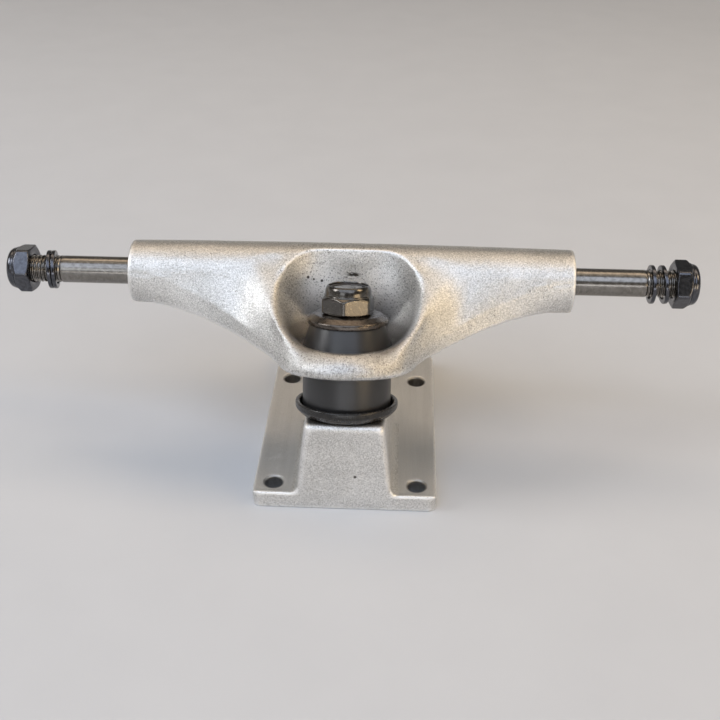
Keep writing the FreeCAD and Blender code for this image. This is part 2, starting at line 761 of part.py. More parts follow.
ring_bottom = size("ring_bottom").value
crest_radius = size("ring_crest_radius").value
outer_top = size("ring_outer_top").value
ring = spun([
    (0, ring_bottom), (ring_radius - 1.6, ring_bottom), (ring_radius - 0.5, ring_bottom + 0.5),
    (ring_radius, ring_bottom + 1.5), (ring_radius, outer_top), (ring_radius - 0.7, crest - 1.5),
    (ring_radius - 2.2, crest - 0.6), (crest_radius + 0.8, crest), (0, crest)])

# The stem leaves the ball along its own frame and swells into the back of the bowl.
to_kingpin = kingpin_frame.inverse().multiply(stem_frame)
ball_local = to_kingpin.Base
stem_way = to_kingpin.Rotation.multVec(Vector(0, 0, 1))
STEM_SECTIONS = (
    # distance up the stem, half width, half height, lift off the stem's line
    (1.5, 4.9, 4.9, 0.0),
    (8.0, 5.6, 5.6, 0.0),
    (16.0, 6.6, 8.0, 2.2),
    (25.0, 10.5, 11.0, 5.0),
    (37.0, 19.0, 14.0, 6.2),
)


def stem_section(distance, half_wide, half_high, lift):
    """A smooth oval across the stem."""
    place = to_kingpin.multiply(Placement(Vector(0, lift, distance), Rotation()))
    angles = [math.radians(30 * i) for i in range(12)]
    points = [place.multVec(Vector(half_wide * math.cos(a), half_high * math.sin(a), 0))
              for a in angles]
    oval = Part.BSplineCurve()
    oval.interpolate(Points=points, PeriodicFlag=True)
    return Part.Wire([oval.toShape()])


spine = Part.makeLoft([stem_section(*row) for row in STEM_SECTIONS], True, False)
tip = Part.makeSphere(size("pivot_ball_radius").value)
tip.translate(ball_local)

# The bowl is a funnel about the kingpin with a flat back whose corners are rounded. Its wall
# stands on the ring outside the funnel, under the sloping rim, and reaches up to the axle.
half_bowl = size("bowl_half_width").value
recess = size("ring_recess_radius").value
wall_thick = size("bowl_wall").value
web_low = size("ring_seat_low").value
web_high = size("ring_seat_high").value
TALL = 60.0
FUNNEL = [(rim_radius, crest), (16.3, 23.1), (17.7, 26.1), (19.1, 30.6), (half_bowl, 35.1),
          (half_bowl + 0.2, 40.1), (half_bowl + 0.2, TALL)]


def chamber(back, corner):
    """The space in front of a flat back whose two upright corners are rounded."""
    half = half_bowl + 0.8 + back - bowl_back
    block = Part.makeBox(2 * half, TALL + back, TALL, Vector(-half, -TALL, 5.0))
    upright = [edge for edge in block.Edges
               if abs(edge.CenterOfMass.y - back) < 0.01 and abs(edge.CenterOfMass.x) > 1.0
               and abs(edge.CenterOfMass.z - (5.0 + TALL / 2)) < 0.01]
    return block.makeFillet(corner, upright)


corner_radius = size("bowl_corner").value
funnel = spun([(0, web_high), (recess, web_high), (recess + 0.02, crest - 0.9)] + FUNNEL
              + [(0, TALL)])
bowl = funnel.common(chamber(bowl_back, corner_radius))
outside = spun([(0, ring_bottom + 1.5), (ring_radius - 0.8, ring_bottom + 1.5),
                (ring_radius - 0.8, crest)]
               + [(r + wall_thick, s) for r, s in FUNNEL[1:]] + [(0, TALL)])
above_rim = Part.makeBox(2 * TALL, 3 * TALL, TALL, Vector(-TALL, -TALL, 0))
above_rim.rotate(Vector(0, 0, 0), Vector(1, 0, 0), math.degrees(math.atan(RIM_SLOPE)))
above_rim.translate(Vector(0, 0, rim_plane(0)))
above_axle = Part.makeBox(2 * TALL, 2 * TALL, TALL, Vector(-TALL, -TALL, axle_s))
bowl_wall = outside.common(chamber(bowl_back + wall_thick, corner_radius + wall_thick))
bowl_wall = bowl_wall.cut([above_rim, above_axle])
bore_radius = size("ring_bore_radius").value
recess_top = web_high + size("ring_recess_height").value
bores = spun([
    (0, 5.0), (recess, 5.0), (recess, web_low), (bore_radius, web_low), (bore_radius, web_high),
    (recess, web_high), (recess, recess_top), (0, recess_top)])
axle_hole = Part.makeCylinder(rod.value, 2 * half_width + 10,
                              Vector(-half_width - 5, axle_v, axle_s), Vector(1, 0, 0))

blank = wings.fuse([ring, spine, tip, bowl_wall])
hanger_casting = blank.cut([bowl, bores, axle_hole])
hanger = doc.addObject("Part::Feature", "hanger")
hanger.Label = "hanger"
hanger.Shape = hanger_casting.removeSplitter()
hanger.Placement = kingpin_frame

doc.recompute()

NODES = ["baseplate", "pivot_cup", "kingpin", "bottom_washer", "bottom_bushing", "top_bushing",
         "top_washer", "kingpin_nut", "kingpin_nut_insert", "hanger", "axle",
         "axle_nut_left", "axle_nut_right", "axle_nut_insert_left", "axle_nut_insert_right"]
NODES += list(SPEED_RINGS)

for item in doc.Objects:
    if "Invalid" in item.State or "Error" in item.State:
        raise RuntimeError("%s failed: %s" % (item.Name, item.State))

os.makedirs("parts", exist_ok=True)
for name in NODES:
    found = [item for item in doc.Objects if item.Label == name]
    if len(found) != 1:
        raise RuntimeError("%d objects are labelled %s" % (len(found), name))
    shape = found[0].Shape
    if shape.isNull() or not shape.isValid() or len(shape.Solids) != 1:
        raise RuntimeError("%s has a bad shape with %d solids" % (name, len(shape.Solids)))
    shape.exportStep(os.path.join("parts", name + ".step"))
    print("%-24s %10.1f mm3" % (name, shape.Volume))
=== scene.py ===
import json
import math

import bpy
import numpy as np
from mathutils import Matrix, Vector


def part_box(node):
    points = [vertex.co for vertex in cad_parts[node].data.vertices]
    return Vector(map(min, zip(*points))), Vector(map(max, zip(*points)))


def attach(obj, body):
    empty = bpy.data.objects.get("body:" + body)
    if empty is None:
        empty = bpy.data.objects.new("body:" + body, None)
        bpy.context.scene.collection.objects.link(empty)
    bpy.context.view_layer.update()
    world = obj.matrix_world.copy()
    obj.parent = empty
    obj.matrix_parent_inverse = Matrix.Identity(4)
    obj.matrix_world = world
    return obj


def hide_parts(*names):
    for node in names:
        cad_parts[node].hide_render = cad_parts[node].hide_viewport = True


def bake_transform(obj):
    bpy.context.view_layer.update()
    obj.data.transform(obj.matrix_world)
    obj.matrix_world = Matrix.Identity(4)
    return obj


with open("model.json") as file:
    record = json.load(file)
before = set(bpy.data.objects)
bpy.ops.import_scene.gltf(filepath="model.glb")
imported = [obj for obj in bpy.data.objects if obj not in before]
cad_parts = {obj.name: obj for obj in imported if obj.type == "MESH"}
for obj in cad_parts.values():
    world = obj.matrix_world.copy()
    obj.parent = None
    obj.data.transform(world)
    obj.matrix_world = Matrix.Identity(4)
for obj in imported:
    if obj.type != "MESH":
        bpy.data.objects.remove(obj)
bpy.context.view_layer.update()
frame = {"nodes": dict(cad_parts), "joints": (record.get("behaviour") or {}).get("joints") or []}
hinge = {joint["name"]: joint for joint in frame["joints"]}
scene = bpy.context.scene

# Camera. The truck was photographed by hand from above its kingpin side, so the view is turned by
# about two degrees and tilted by a third of one. Place and lens come from the four deck holes.
CAMERA_SPOT = (0.0135, -0.2553, 0.1944)
CAMERA_TURN = 2.35
CAMERA_DIP = 32.73
CAMERA_ROLL = 0.34
LENS_MM = 50.94
SENSOR_MM = 36.0
NEAREST_SEEN = 0.01
FARTHEST_SEEN = 50.0


def shown(name, content):
    """An object in the scene for a mesh, a lamp or a camera."""
    item = bpy.data.objects.new(name, content)
    scene.collection.objects.link(item)
    return item


camera_lens = bpy.data.cameras.new("camera")
camera_lens.lens = LENS_MM
camera_lens.sensor_width = SENSOR_MM
camera_lens.clip_start = NEAREST_SEEN
camera_lens.clip_end = FARTHEST_SEEN
camera = shown("camera", camera_lens)
camera.matrix_world = (
    Matrix.Translation(CAMERA_SPOT)
    @ Matrix.Rotation(math.radians(CAMERA_TURN), 4, "Z")
    @ Matrix.Rotation(math.radians(90.0 - CAMERA_DIP), 4, "X")
    @ Matrix.Rotation(math.radians(CAMERA_ROLL), 4, "Z"))
scene.camera = camera
scene.view_settings.view_transform = "Standard"


# Floor and light. The truck stands on a plain pale table in a studio. A wide cool window lies in
# front and above, smaller ones to the left, and warm walls behind and to the right. The room
# itself is a soft grey.
def node(tree, kind, inputs=(), **settings):
    """A shader node. Its inputs take numbers, colours or the outputs of other nodes."""
    item = tree.nodes.new("ShaderNode" + kind)
    for name, value in settings.items():
        setattr(item, name, value)
    for name, value in dict(inputs).items():
        if isinstance(value, bpy.types.NodeSocket):
            tree.links.new(value, item.inputs[name])
        else:
            item.inputs[name].default_value = value
    return item


def material(name, colour, metallic, roughness):
    """A material with its Principled shader set to plain values."""
    finish = bpy.data.materials.new(name)
    finish.use_nodes = True
    shader = finish.node_tree.nodes["Principled BSDF"]
    shader.inputs["Base Color"].default_value = (*colour, 1.0)
    shader.inputs["Metallic"].default_value = metallic
    shader.inputs["Roughness"].default_value = roughness
    return finish, finish.node_tree, shader


TABLE_HALF = 3.0
table_mesh = bpy.data.meshes.new("table")
table_mesh.from_pydata(
    [(-TABLE_HALF, -TABLE_HALF, 0), (TABLE_HALF, -TABLE_HALF, 0),
     (TABLE_HALF, TABLE_HALF, 0), (-TABLE_HALF, TABLE_HALF, 0)], [], [(0, 1, 2, 3)])
table = shown("table", table_mesh)
table_finish, tree, shader = material("table_paper", (0.68, 0.70, 0.74), 0.0, 0.85)
fibre = node(tree, "TexNoise", {"Scale": 220.0, "Detail": 4.0})
tone = node(tree, "MixRGB", {"Fac": fibre.outputs["Fac"], "Color1": (0.56, 0.575, 0.60, 1),
                             "Color2": (0.60, 0.615, 0.64, 1)})
tree.links.new(tone.outputs["Color"], shader.inputs["Base Color"])
# Far from the truck the table and the foot of the walls show in one pale tone. Only rays from the
# camera, off metal or through glass see it, so matt surfaces get no light from it.
BACKDROP = (0.56, 0.54, 0.52)
TABLE_FADE_START = 0.6
TABLE_FADE_END = 1.1
WALL_FOOT_TOP = 0.25
WALL_FOOT_FULL = 0.08


def shows_backdrop(tree):
    """1 for rays from the camera, off metal or through glass, and 0 for the others."""
    ray = node(tree, "LightPath")
    off_metal = node(tree, "Math", {0: ray.outputs["Is Camera Ray"],
                                    1: ray.outputs["Is Glossy Ray"]}, operation="MAXIMUM")
    return node(tree, "Math", {0: off_metal.outputs["Value"],
                               1: ray.outputs["Is Transmission Ray"]},
                operation="MAXIMUM").outputs["Value"]


table_place = node(tree, "TexCoord")
far = node(tree, "VectorMath", {0: table_place.outputs["Object"]}, operation="LENGTH")
fade = node(tree, "MapRange", {"Value": far.outputs["Value"], "From Min": TABLE_FADE_START,
                               "From Max": TABLE_FADE_END})
fade = node(tree, "Math", {0: fade.outputs["Result"], 1: shows_backdrop(tree)},
            operation="MULTIPLY")
plain = node(tree, "Emission", {"Color": (*BACKDROP, 1)})
surface = node(tree, "MixShader", {0: fade.outputs["Value"], 1: shader.outputs["BSDF"],
                                   2: plain.outputs["Emission"]})
tree.links.new(surface.outputs["Shader"], tree.nodes["Material Output"].inputs["Surface"])
table_mesh.materials.append(table_finish)

room = bpy.data.worlds.new("room")
scene.world = room
room.use_nodes = True
tree = room.node_tree
sky = node(tree, "TexCoord")
height = node(tree, "SeparateXYZ", {"Vector": sky.outputs["Generated"]})
walls = node(tree, "ValToRGB", {"Fac": height.outputs["Z"]})
walls.color_ramp.elements[0].position = 0.0
walls.color_ramp.elements[0].color = (0.34, 0.32, 0.29, 1)
walls.color_ramp.elements[1].position = 1.0
walls.color_ramp.elements[1].color = (0.36, 0.35, 0.33, 1)
ROOM_LEVEL = 0.52
low_down = node(tree, "MapRange", {"Value": height.outputs["Z"], "From Min": WALL_FOOT_TOP,
                                   "From Max": WALL_FOOT_FULL})
share = node(tree, "Math", {0: low_down.outputs["Result"], 1: shows_backdrop(tree)},
             operation="MULTIPLY")
seen = node(tree, "MixRGB", {"Fac": share.outputs["Value"],
                             "Color1": walls.outputs["Color"],
                             "Color2": (*(value / ROOM_LEVEL for value in BACKDROP), 1)})
tree.links.new(seen.outputs["Color"], tree.nodes["Background"].inputs["Color"])
tree.nodes["Background"].inputs["Strength"].default_value = ROOM_LEVEL


TRUCK_MIDDLE = Vector((0, 0, 0.03))


def lamp(name, spot, size, power, colour):
    """A soft rectangular lamp that faces the truck."""
    light = bpy.data.lights.new(name, "AREA")
    light.energy = power
    light.color = colour
    light.shape = "RECTANGLE"
    light.size, light.size_y = size
    item = shown(name, light)
    item.location = spot
    towards = TRUCK_MIDDLE - Vector(spot)
    item.rotation_euler = towards.to_track_quat("-Z", "Y").to_euler()


lamp("room_window", (-0.10, -0.60, 1.00), (1.6, 0.75), 7.0, (0.74, 0.83, 1.0))
lamp("corner_window", (-0.46, -0.87, 0.50), (0.45, 0.35), 0.95, (0.86, 0.92, 1.0))
lamp("ceiling", (0.0, 0.05, 1.12), (1.5, 0.3), 0.8, (1.0, 0.86, 0.68))
lamp("front_wall", (0.0, -1.15, 0.10), (0.9, 0.15), 1.3, (0.95, 0.96, 1.0))
lamp("low_wall", (0.78, -0.72, 0.22), (0.5, 0.3), 2.0, (1.0, 0.78, 0.50))
lamp("side_window", (-0.85, -0.10, 0.62), (0.35, 0.35), 3.0, (0.97, 0.98, 1.0))
lamp("warm_wall", (0.05, 0.38, 0.92), (1.7, 0.30), 3.2, (1.0, 0.80, 0.60))
lamp("warm_side", (0.78, -0.08, 0.70), (0.30, 0.30), 2.1, (1.0, 0.76, 0.46))


# Hanger. One aluminium casting, tumbled after it leaves the mould, so its edges are soft and its
# skin is a fine bright speckle with small dark pits. The kingpin's ring is dressed with a file.
MM = 0.001
CAST_VOXEL = 0.00045
UNEVEN_DEPTH = 0.12
LUMP_FACES = ((0, 1, 2, 3), (7, 6, 5, 4), (0, 4, 5, 1), (1, 5, 6, 2), (2, 6, 7, 3), (3, 7, 4, 0))
EDGE_FULL = 0.030
EDGE_ROUNDS = 2
uneven_skin = bpy.data.textures.new("uneven_skin", "CLOUDS")
uneven_skin.noise_scale = 0.007


def points_of(item):
    """An object's points in metres, one row each."""
    return np.array([vertex.co for vertex in item.data.vertices])


def store(item, word, values):
    """Keeps one number for each point of an object, for its material to read."""
    kept = item.data.attributes.new(word, "FLOAT", "POINT")
    kept.data.foreach_set("value", values.astype(np.float32))


def between(values, none, full):
    """0 at none, 1 at full and even in between. full may be the lower of the two."""
    return np.clip((values - none) / (full - none), 0, 1)


def settle(item):
    """Turns an object's modifiers into its mesh."""
    shaped = item.evaluated_get(bpy.context.evaluated_depsgraph_get())
    mesh = bpy.data.meshes.new_from_object(shaped)
    item.modifiers.clear()
    item.data = mesh


def cast_skin(name, rounds, added=()):
    """A CAD casting with its edges softened and its faces slightly uneven. added lists extra
    convex lumps, each a list of eight corners in mm, that melt into it."""
    mesh = frame["nodes"][name].data.copy()
    mesh.materials.clear()
    if added:
        points = [vertex.co[:] for vertex in mesh.vertices]
        faces = [polygon.vertices[:] for polygon in mesh.polygons]
        for lump in added:
            first = len(points)
            points += [tuple(value * MM for value in corner) for corner in lump]
            faces += [tuple(first + i for i in face) for face in LUMP_FACES]
        mesh = bpy.data.meshes.new(name + "_cast")
        mesh.from_pydata(points, [], faces)
    skin = shown(name + "_cast", mesh)
    remesh = skin.modifiers.new("skin", "REMESH")
    remesh.mode = "VOXEL"
    remesh.voxel_size = CAST_VOXEL
    smooth = skin.modifiers.new("tumbled", "SMOOTH")
    smooth.factor = 0.5
    smooth.iterations = rounds
    uneven = skin.modifiers.new("uneven", "DISPLACE")
    uneven.texture = uneven_skin
    uneven.strength = UNEVEN_DEPTH * MM
    settle(skin)
    spots = np.clip(points_of(skin), *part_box(name))
    skin.data.vertices.foreach_set("co", spots.ravel())
    skin.data.shade_smooth()
    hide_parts(name)
    return skin


def mark_edges(item):
    """Stores how far each point stands proud of its neighbours: 1 on an edge, -1 in a corner."""
    mesh = item.data
    count = len(mesh.vertices)
    spots = np.empty(count * 3)
    mesh.vertices.foreach_get("co", spots)
    spots = spots.reshape(-1, 3)
    facing = np.empty(count * 3)
    mesh.vertices.foreach_get("normal", facing)
    facing = facing.reshape(-1, 3)
    pairs = np.empty(len(mesh.edges) * 2, int)
    mesh.edges.foreach_get("vertices", pairs)
    here, there = pairs.reshape(-1, 2).T
    near = np.bincount(pairs, minlength=count)

    def neighbours(values):
        total = np.bincount(here, values[there], count) + np.bincount(there, values[here], count)
        return total / near

    middle = np.stack([neighbours(spots[:, axis]) for axis in range(3)], 1)
    proud = ((spots - middle) * facing).sum(1)
    for _ in range(EDGE_ROUNDS):
        proud = neighbours(proud)
    store(item, "edge", np.clip(proud / (EDGE_FULL * MM), -1, 1))


def soften(item, area, weights, rounds):
    """Smooths an object further where its points have a weight above zero."""
    reach = item.vertex_groups.new(name=area)
    for i in np.flatnonzero(weights > 0.01):
        reach.add([int(i)], float(weights[i]), "REPLACE")
    ease = item.modifiers.new(area, "SMOOTH")
    ease.factor = 0.5
    ease.iterations = rounds
    ease.vertex_group = area
    settle(item)


def folded_points(item):
    """An object's points in mm with X made positive, as both sides of the truck are alike."""
    spots = points_of(item) / MM
    spots[:, 0] = np.abs(spots[:, 0])
    return spots


def near_line(spots, corners):
    """The distance of each point to a line through corners."""
    nearest = np.full(len(spots), np.inf)
    corners = np.array(corners)
    for start, end in zip(corners, corners[1:]):
        run = end - start
        along = np.clip((spots - start) @ run / (run @ run), 0, 1)
        gap = np.linalg.norm(spots - start - along[:, None] * run, axis=1)
        nearest = np.minimum(nearest, gap)
    return nearest


# Inside the bowl the faces run into one another, the ring's outer edge is worn round, and the
# arms flow into the ring.
BOWL_RADIUS = 19.0
BOWL_FLOOR = 19.5
BOWL_TOP = 41.0
BOWL_ROUNDS = 280
# Painted shade: the bowl's colour darkens from the first of these rises down to the second.
PAINTED_SHADE_TOP = 33.0
PAINTED_SHADE_FULL = 24.0
COARSE_REACH = 25.0
RIM_RADIUS = 13.6
RIM_RISE = 19.5
RIM_BUILD_UP = 0.9
EDGE_CUT = 1.1
EDGE_CUT_REACH = 2.8
EDGE_SOFT_ROUNDS = 160
RING_EDGE = [(22.5, 2.0, 60.0), (20.9, -5.0, 57.5), (18.7, -12.3, 53.7), (15.3, -19.6, 50.3),
             (12.0, -26.2, 47.1), (9.0, -29.4, 47.1), (4.0, -31.6, 47.0), (0.0, -32.2, 47.0)]
ARM_ROOT = [(27.0, 0.0, 57.0), (25.0, -7.0, 54.5), (22.0, -14.0, 50.5), (18.5, -21.0, 47.0),
            (14.5, -27.0, 45.0)]
hanger = cast_skin("hanger", 5)
seat = Vector(hinge["kingpin_nut_turn"]["pos_m"])
up_kingpin = Vector(hinge["kingpin_nut_turn"]["axis"])
up = np.array(up_kingpin)
spots = points_of(hanger) / MM
from_seat = spots - np.array(seat) / MM
rise = from_seat @ up
away = np.linalg.norm(from_seat - rise[:, None] * up, axis=1)
in_bowl = (between(away, BOWL_RADIUS, BOWL_RADIUS - 2.5)
           * between(rise, BOWL_FLOOR, BOWL_FLOOR + 1.5)
           * between(rise, BOWL_TOP, BOWL_TOP - 4.0))
# Painted shade for the material, darker towards the bottom of the bowl.
store(hanger, "grime", in_bowl * between(rise, PAINTED_SHADE_TOP, PAINTED_SHADE_FULL))
# Painted light for the material: the bowl's walls, to be made brighter as if lit.
store(hanger, "painted_bowl_light", in_bowl)
store(hanger, "coarse", between(away, COARSE_REACH, COARSE_REACH - 4.0))
soften(hanger, "bowl", in_bowl, BOWL_ROUNDS)

# The ring's outer edge is cut back, and its front rim is built up along the kingpin.
outwards = np.array([vertex.normal for vertex in hanger.data.vertices])
to_edge = near_line(folded_points(hanger), RING_EDGE)
cut_back = (EDGE_CUT * np.exp(-(to_edge / EDGE_CUT_REACH) ** 2)
            * between(outwards[:, 2], -0.3, 0.3))
past_rim = np.clip(away - RIM_RADIUS, 0, None)
build_up = (RIM_BUILD_UP * np.exp(-(past_rim / 3.6) ** 2)
            * between(away, RIM_RADIUS - 0.8, RIM_RADIUS - 0.3)
            * between(rise, RIM_RISE - 3.5, RIM_RISE - 1.5)
            * between(spots[:, 1], -12.0, -18.0))
spots = points_of(hanger) + (build_up[:, None] * up - cut_back[:, None] * outwards) * MM
hanger.data.vertices.foreach_set("co", spots.ravel())
hanger.data.update()

# That edge and the roots of the arms are then smoothed, and the edge's front carries file marks.
spots = folded_points(hanger)
to_edge = near_line(spots, RING_EDGE)
facing_up = np.array([vertex.normal.z for vertex in hanger.data.vertices])
reach = 3.8 + 1.4 * between(spots[:, 1], -5.0, -15.0)
at_edge = between(to_edge, reach, reach - 2.4)
at_root = (between(near_line(spots, ARM_ROOT), 7.0, 3.5) * between(to_edge, 0.5, 2.0)
           * between(facing_up, 0.1, 0.4))
soften(hanger, "ring_edge", np.maximum(at_edge, at_root), EDGE_SOFT_ROUNDS)
store(hanger, "filed", between(to_edge, 6.0, 2.0) * between(spots[:, 1], -19.0, -24.0))
mark_edges(hanger)
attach(hanger, "hanger")


def group(name, inputs, outputs):
    """An empty shader node group with number inputs and outputs."""
    tree = bpy.data.node_groups.new(name, "ShaderNodeTree")
    for word, value in inputs.items():
        socket = tree.interface.new_socket(word, in_out="INPUT", socket_type="NodeSocketFloat")
        socket.default_value = value
    for word in outputs:
        tree.interface.new_socket(word, in_out="OUTPUT", socket_type="NodeSocketFloat")
    return tree, tree.nodes.new("NodeGroupInput"), tree.nodes.new("NodeGroupOutput")


def maths(tree, operation, first, second=0.0, clamp=False):
    """The result of a Math node."""
    return node(tree, "Math", {0: first, 1: second}, operation=operation,
                use_clamp=clamp).outputs["Value"]


def band(tree, value, low, high, out_low=0.0, out_high=1.0):
    """A value's place between low and high, as a number from out_low to out_high."""
    return node(tree, "MapRange", {"Value": value, "From Min": low, "From Max": high,
                                   "To Min": out_low, "To Max": out_high}).outputs["Result"]


# The speckle of a tumbled casting: grains that catch the light, and pits left by the mould.
cast_speckle, given, result = group(
    "cast_speckle", {"Grain Scale": 2600.0, "Pit Scale": 1500.0, "Pit Share": 0.36},
    ("Shade", "Pits", "Height"))
where = node(cast_speckle, "TexCoord")
grain = node(cast_speckle, "TexNoise", {
    "Vector": where.outputs["Object"], "Scale": given.outputs["Grain Scale"], "Detail": 3.0,
    "Roughness": 0.65})
blotch = node(cast_speckle, "TexNoise", {
    "Vector": where.outputs["Object"], "Scale": 90.0, "Detail": 4.0})
holes = node(cast_speckle, "TexNoise", {
    "Vector": where.outputs["Object"], "Scale": given.outputs["Pit Scale"], "Detail": 2.0})
deep = maths(cast_speckle, "SUBTRACT", given.outputs["Pit Share"], holes.outputs["Fac"])
pits = band(cast_speckle, deep, 0.0, 0.05)
shade = maths(cast_speckle, "ADD", maths(cast_speckle, "MULTIPLY", grain.outputs["Fac"], 0.8),
              maths(cast_speckle, "MULTIPLY", blotch.outputs["Fac"], 0.2))
cast_speckle.links.new(band(cast_speckle, shade, 0.38, 0.62), result.inputs["Shade"])
cast_speckle.links.new(pits, result.inputs["Pits"])
height = maths(cast_speckle, "SUBTRACT", grain.outputs["Fac"],
               maths(cast_speckle, "MULTIPLY", pits, 0.8))
cast_speckle.links.new(height, result.inputs["Height"])

# Edges that tumbling and handling have rubbed bright, broken up by the grain. The same brightening
# also paints the thin highlight that rims and rounded edges catch.
edge_rub, given, result = group("edge_rub", {"Low": 0.15, "High": 0.8, "Break": 0.3}, ("Rub",))
proud = node(edge_rub, "Attribute", attribute_name="edge")
where = node(edge_rub, "TexCoord")
broken = node(edge_rub, "TexNoise", {"Vector": where.outputs["Object"], "Scale": 700.0,
                                     "Detail": 3.0})
uneven = maths(edge_rub, "MULTIPLY", maths(edge_rub, "SUBTRACT", broken.outputs["Fac"], 0.5),
               given.outputs["Break"])
rub_and_highlight = node(edge_rub, "MapRange", {
    "Value": maths(edge_rub, "ADD", proud.outputs["Fac"], uneven),
    "From Min": given.outputs["Low"], "From Max": given.outputs["High"]})
edge_rub.links.new(rub_and_highlight.outputs["Result"], result.inputs["Rub"])


def use(tree, effect, **values):
    """A node group placed in a material, with its own values."""
    item = tree.nodes.new("ShaderNodeGroup")
    item.node_tree = effect
    for name, value in values.items():
        item.inputs[name.replace("_", " ")].default_value = value
    return item


def mix(tree, share, first, second):
    """A colour between two others."""
    return node(tree, "MixRGB", {"Fac": share, "Color1": first, "Color2": second}).outputs["Color"]


def bump(tree, shader, height, depth):
    """Raises a surface by a height that varies over it. depth is in metres."""
    raised = node(tree, "Bump", {"Height": height, "Distance": depth, "Strength": 1.0})
    tree.links.new(raised.outputs["Normal"], shader.inputs["Normal"])


def blot(tree, place, spot, reach):
    """1 within a reach of a spot, both in mm, and 0 a little beyond it."""
    gap = node(tree, "VectorMath", {0: place, 1: tuple(value * MM for value in spot)},
               operation="DISTANCE")
    return band(tree, gap.outputs["Value"], reach * 1.25 * MM, reach * 0.75 * MM)


finish, tree, shader = material("tumbled_aluminium", (0.7, 0.69, 0.67), 1.0, 0.4)
speckle = use(tree, cast_speckle, Grain_Scale=2600.0, Pit_Scale=2400.0, Pit_Share=0.33)
# Rubbed edges, also brightened as a painted highlight along the bowl's rim.
rubbed_and_highlit = use(tree, edge_rub, Low=0.25, High=1.0, Break=0.3)
tone = mix(tree, speckle.outputs["Shade"], (0.46, 0.455, 0.44, 1), (0.86, 0.85, 0.83, 1))
# Painted light: the bowl's walls are made much brighter, as if lit.
painted_bowl_light = node(tree, "Attribute", attribute_name="painted_bowl_light")
tone = mix(tree, maths(tree, "MULTIPLY", painted_bowl_light.outputs["Fac"], 0.7), tone,
           (0.97, 0.955, 0.93, 1))
# Painted shade: the bowl's walls are darkened towards its bottom.
painted_shade = node(tree, "Attribute", attribute_name="grime")
tone = mix(tree, maths(tree, "MULTIPLY", painted_shade.outputs["Fac"], 0.85), tone,
           (0.17, 0.16, 0.155, 1))
tone = mix(tree, rubbed_and_highlit.outputs["Rub"], tone, (0.90, 0.89, 0.87, 1))
tone = mix(tree, maths(tree, "MULTIPLY", speckle.outputs["Pits"], 0.85), tone,
           (0.17, 0.16, 0.15, 1))
where = node(tree, "TexCoord")
place = where.outputs["Object"]
# File strokes across the ring's front, which also darken that front evenly towards its lower edge.
stroke_way = node(tree, "Mapping", {"Vector": place, "Scale": (1.0, 0.05, 0.05)})
stroke = node(tree, "TexNoise", {"Vector": stroke_way.outputs["Vector"], "Scale": 3400.0,
                                 "Detail": 2.0})
filed_area = node(tree, "Attribute", attribute_name="filed")
strokes_and_darkening = maths(tree, "MULTIPLY", filed_area.outputs["Fac"],
                band(tree, stroke.outputs["Fac"], 0.48, 0.66, 0.25, 0.55))
tone = mix(tree, strokes_and_darkening, tone, (0.28, 0.27, 0.26, 1))
# The ring and the bowl keep more of the mould's open pits than the arms.
coarse_area = node(tree, "Attribute", attribute_name="coarse")
open_grain = node(tree, "TexNoise", {"Vector": place, "Scale": 2100.0, "Detail": 3.0,
                                     "Roughness": 0.6})
open_pits = maths(tree, "MULTIPLY", coarse_area.outputs["Fac"],
                  band(tree, open_grain.outputs["Fac"], 0.43, 0.36, 0.0, 0.75))
tone = mix(tree, open_pits, tone, (0.16, 0.15, 0.14, 1))
# Sand holes in the bowl, and a scuff where the wrench has touched it behind the nut.
dents = 0.0
for spot, reach in (((-12.3, 3.9, 55.6), 0.45), ((-10.7, 4.1, 54.9), 0.35),
                    ((-8.3, 4.2, 54.4), 0.4), ((3.1, 4.0, 52.6), 0.3)):
    dents = maths(tree, "MAXIMUM", dents, blot(tree, place, spot, reach))
flattened = node(tree, "Mapping", {"Vector": place, "Scale": (1.0, 1.0, 2.6)}).outputs["Vector"]
scrape = node(tree, "TexNoise", {"Vector": flattened, "Scale": 500.0, "Detail": 3.0})
scuff = maths(tree, "MULTIPLY", blot(tree, flattened, (0.4, 4.7, 56.0 * 2.6), 2.4),
              band(tree, scrape.outputs["Fac"], 0.42, 0.54))
tone = mix(tree, maths(tree, "MAXIMUM", dents, scuff), tone, (0.06, 0.055, 0.05, 1))
tree.links.new(tone, shader.inputs["Base Color"])
dull = band(tree, speckle.outputs["Shade"], 0.0, 1.0, 0.44, 0.32)
tree.links.new(dull, shader.inputs["Roughness"])
bump(tree, shader, speckle.outputs["Height"], 0.14 * MM)
hanger.data.materials.append(finish)

# Baseplate. A second aluminium casting, a little greyer: a flat plate with four deck holes, the
# boss that carries the kingpin and the boss that holds the pivot cup.
PLATE_TOP = 4.9
BOSS_FOOT = 13.8
BOSS_ENDS = (-32.2, 2.8)
COVE = 1.7
COVE_STEP = 0.35
LIP_SIDES = (16.0, 26.1)
LIP_ENDS = (-32.25, -31.3)
LIP_RISE = 0.3
SUNK = 0.4

# On each side a small cove runs along the boss's foot, and a low lip along the plate's front.
lumps = []
low = PLATE_TOP - SUNK
lip_top = PLATE_TOP + LIP_RISE
for side in (-1, 1):
    foot = side * (BOSS_FOOT - 0.3)
    for width, rise in ((COVE, COVE * COVE_STEP), (COVE * COVE_STEP, COVE)):
        section = [(foot, low), (side * (BOSS_FOOT + width), low),
                   (side * (BOSS_FOOT + width), PLATE_TOP), (foot, PLATE_TOP + rise)]
        lumps.append([(x, y, z) for y in BOSS_ENDS for x, z in section])
    inner, outer = LIP_SIDES
    section = [(inner, low), (outer, low), (outer, lip_top), (inner, lip_top)]
    lumps.append([(side * x, y, z) for y in LIP_ENDS for x, z in section])
baseplate = cast_skin("baseplate", 3, lumps)
mark_edges(baseplate)
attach(baseplate, "base")
finish, tree, shader = material("cast_plate", (0.55, 0.54, 0.52), 1.0, 0.45)
